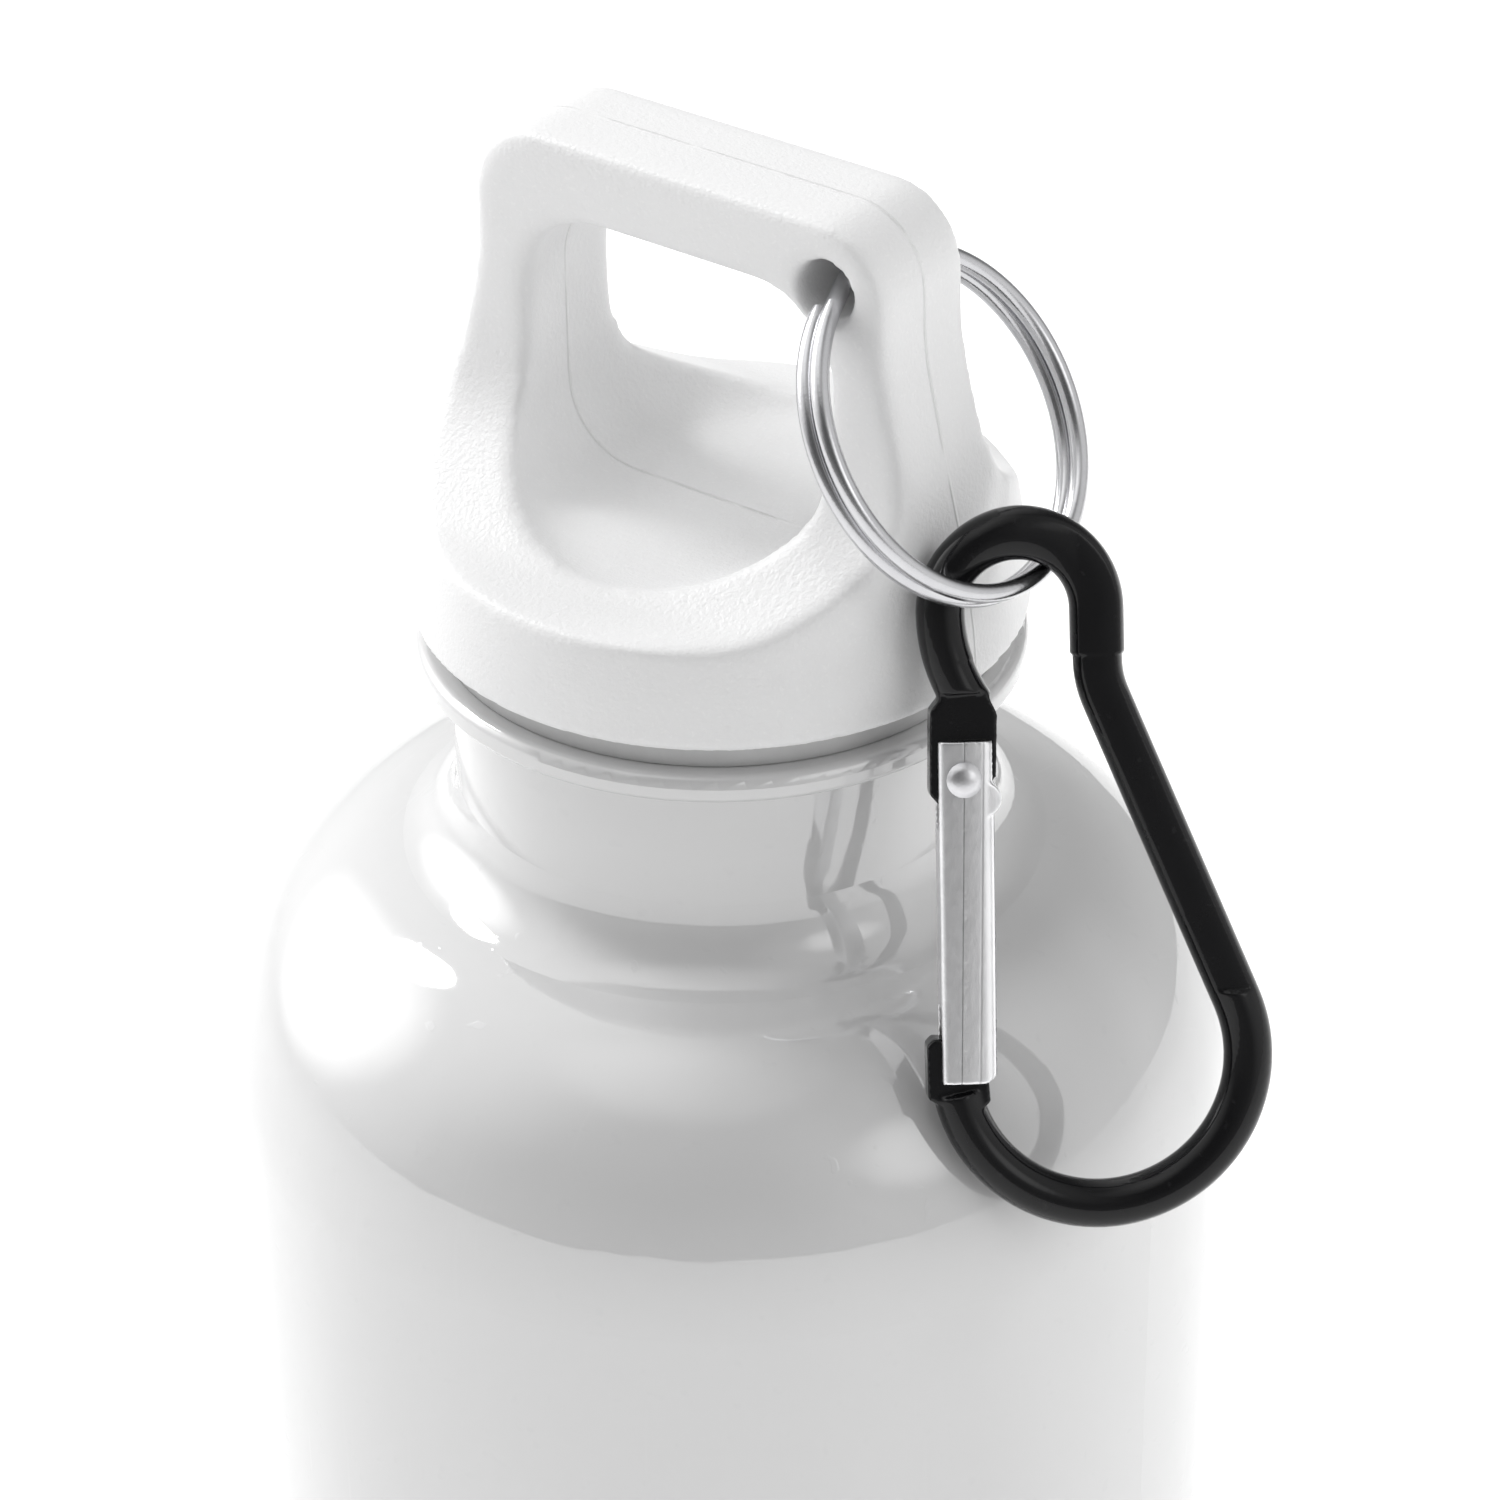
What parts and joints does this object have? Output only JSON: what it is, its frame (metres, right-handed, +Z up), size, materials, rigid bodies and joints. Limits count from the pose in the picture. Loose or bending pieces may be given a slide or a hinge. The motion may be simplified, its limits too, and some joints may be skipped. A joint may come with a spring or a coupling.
{
  "type": "metal water bottle with carabiner",
  "caption": "Short round-shouldered metal bottle with a threaded neck, a screw cap with a carrying loop, a split ring and a spring-gate carabiner.",
  "frame": {"origin": "centre of the base, in the plane of the foot that it stands on", "axes": "+Z up along the bottle's axis; +X along the cap's carrying loop, towards the corner with the ring's hole; -Y the side that shows the loop's window"},
  "size_m": [0.0746, 0.066, 0.178],
  "materials": {
    "white_gloss_paint": "aluminium under high-gloss white enamel",
    "natural_plastic": "moulded, natural white",
    "white_matte_plastic": "fine-grained white",
    "silicone": "soft translucent white",
    "polished_steel": "polished nickel plate",
    "black_gloss_coat": "aluminium under gloss black enamel",
    "satin_aluminium": "satin",
    "rivet_aluminium": "satin",
    "spring_steel": "drawn wire"
  },
  "bodies": {
    "bottle": {"bottle_shell": "white_gloss_paint", "neck_thread_ring": "natural_plastic"},
    "seal": {"cap_seal": "silicone"},
    "cap": {"cap_body": "white_matte_plastic"},
    "ring": {"split_ring": "polished_steel"},
    "carabiner": {"carabiner_frame": "black_gloss_coat", "gate_rivet": "rivet_aluminium"},
    "gate": {"gate": "satin_aluminium", "gate_spring": "spring_steel"}
  },
  "joints": [
    {"name": "cap_lift", "type": "slide", "parent": "bottle", "child": "seal", "axis": [0, 0, 1], "range_m": [0, 0.0161]},
    {"name": "cap_turn", "type": "hinge", "parent": "seal", "child": "cap", "pos_m": [0, 0, 0.148], "axis": [0, 0, 1], "range_deg": [0, 1440]},
    {"name": "ring_swing", "type": "hinge", "parent": "cap", "child": "ring", "pos_m": [0.01111, 0, 0.1733], "axis": [0, -1, 0], "range_deg": [0, 150]},
    {"name": "clip_swing", "type": "hinge", "parent": "ring", "child": "carabiner", "pos_m": [0.02268, 0, 0.15637], "axis": [0, -1, 0], "range_deg": [0, 10]},
    {"name": "gate_pivot", "type": "hinge", "parent": "carabiner", "child": "gate", "pos_m": [0.02284, -0.00689, 0.14624], "axis": [0.6206, -0.6844, 0.3827], "range_deg": [0, 25], "stiffness_Nm_per_rad": 0.004, "springref_deg": -28.65, "deforming": ["gate_spring"]}
  ],
  "couplings": [
    {"joint": "cap_lift", "follows": "cap_turn", "m_per_rad": 0.00063662}
  ]
}
